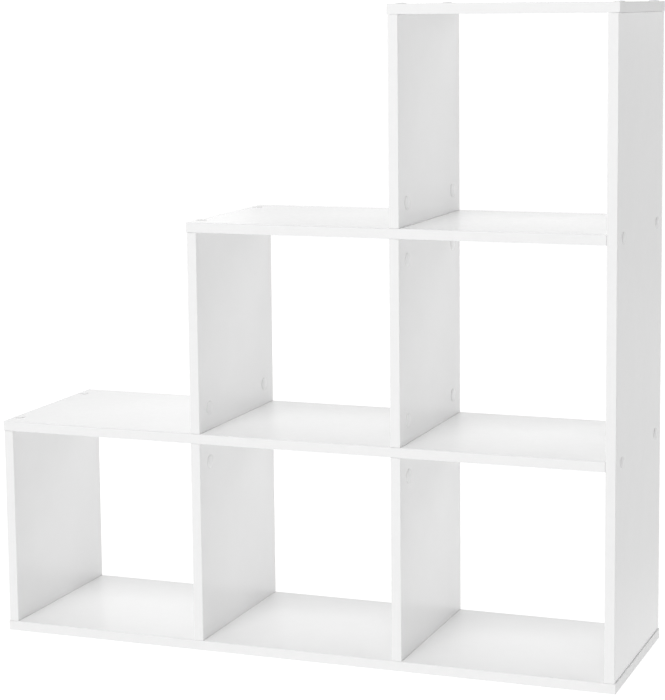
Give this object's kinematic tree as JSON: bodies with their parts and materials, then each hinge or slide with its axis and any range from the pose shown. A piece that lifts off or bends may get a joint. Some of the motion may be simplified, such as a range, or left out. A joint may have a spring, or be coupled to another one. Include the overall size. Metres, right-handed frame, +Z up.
{
  "type": "staircase bookshelf",
  "caption": "Open-backed staircase bookshelf of white edge-banded boards, its square cells stepping up to one side, held by screws and cam-locked bolts under cover caps.",
  "frame": {"origin": "middle of the footprint, on the floor under the bottom board", "axes": "+Z up, +X towards the tall end, -Y the front in the picture"},
  "size_m": [0.975, 0.29, 0.9763],
  "materials": {
    "white_board": "white melamine on chipboard, satin with a very fine pearl texture",
    "edge_band": "white ABS edge banding, satin",
    "capped_screw": "zinc-plated steel screw under a white plastic cover cap",
    "capped_cam_lock": "zinc alloy cam lock under a white plastic cover cap",
    "zinc_screw": "bright zinc plate",
    "zinc_bolt": "bright zinc plate"
  },
  "bodies": {
    "root": {"bottom_board": "white_board", "bottom_board_edge_band": "edge_band", "capped_cam_lock_lower_left_divider_top_back": "capped_cam_lock", "capped_cam_lock_lower_left_divider_top_front": "capped_cam_lock", "capped_cam_lock_lower_right_divider_top_back": "capped_cam_lock", "capped_cam_lock_lower_right_divider_top_front": "capped_cam_lock", "capped_cam_lock_middle_divider_bottom_back": "capped_cam_lock", "capped_cam_lock_middle_divider_bottom_front": "capped_cam_lock", "capped_cam_lock_middle_divider_top_back": "capped_cam_lock", "capped_cam_lock_middle_divider_top_front": "capped_cam_lock", "capped_cam_lock_middle_side_panel_bottom_back": "capped_cam_lock", "capped_cam_lock_middle_side_panel_bottom_front": "capped_cam_lock", "capped_cam_lock_upper_side_panel_bottom_back": "capped_cam_lock", "capped_cam_lock_upper_side_panel_bottom_front": "capped_cam_lock", "capped_screw_lower_shelf_to_left_side_panel_back": "capped_screw", "capped_screw_lower_shelf_to_left_side_panel_front": "capped_screw", "capped_screw_right_side_panel_to_lower_shelf_back": "capped_screw", "capped_screw_right_side_panel_to_lower_shelf_front": "capped_screw", "capped_screw_right_side_panel_to_upper_shelf_back": "capped_screw", "capped_screw_right_side_panel_to_upper_shelf_front": "capped_screw", "capped_screw_top_board_to_right_side_panel_back": "capped_screw", "capped_screw_top_board_to_right_side_panel_front": "capped_screw", "capped_screw_top_board_to_upper_side_panel_back": "capped_screw", "capped_screw_top_board_to_upper_side_panel_front": "capped_screw", "capped_screw_upper_shelf_to_middle_side_panel_back": "capped_screw", "capped_screw_upper_shelf_to_middle_side_panel_front": "capped_screw", "double_bolt_lower_left_divider_to_middle_side_panel_back": "zinc_bolt", "double_bolt_lower_left_divider_to_middle_side_panel_front": "zinc_bolt", "double_bolt_lower_right_divider_to_middle_divider_back": "zinc_bolt", "double_bolt_lower_right_divider_to_middle_divider_front": "zinc_bolt", "double_bolt_middle_divider_to_upper_side_panel_back": "zinc_bolt", "double_bolt_middle_divider_to_upper_side_panel_front": "zinc_bolt", "left_side_panel": "white_board", "left_side_panel_edge_band": "edge_band", "lower_left_divider": "white_board", "lower_left_divider_edge_band": "edge_band", "lower_right_divider": "white_board", "lower_right_divider_edge_band": "edge_band", "lower_shelf": "white_board", "lower_shelf_edge_band": "edge_band", "middle_divider": "white_board", "middle_divider_edge_band": "edge_band", "middle_side_panel": "white_board", "middle_side_panel_edge_band": "edge_band", "right_side_panel": "white_board", "right_side_panel_edge_band": "edge_band", "screw_bottom_board_to_left_side_panel_back": "zinc_screw", "screw_bottom_board_to_left_side_panel_front": "zinc_screw", "screw_bottom_board_to_lower_left_divider_back": "zinc_screw", "screw_bottom_board_to_lower_left_divider_front": "zinc_screw", "screw_bottom_board_to_lower_right_divider_back": "zinc_screw", "screw_bottom_board_to_lower_right_divider_front": "zinc_screw", "screw_bottom_board_to_right_side_panel_back": "zinc_screw", "screw_bottom_board_to_right_side_panel_front": "zinc_screw", "top_board": "white_board", "top_board_edge_band": "edge_band", "upper_shelf": "white_board", "upper_shelf_edge_band": "edge_band", "upper_side_panel": "white_board", "upper_side_panel_edge_band": "edge_band"}
  },
  "joints": []
}
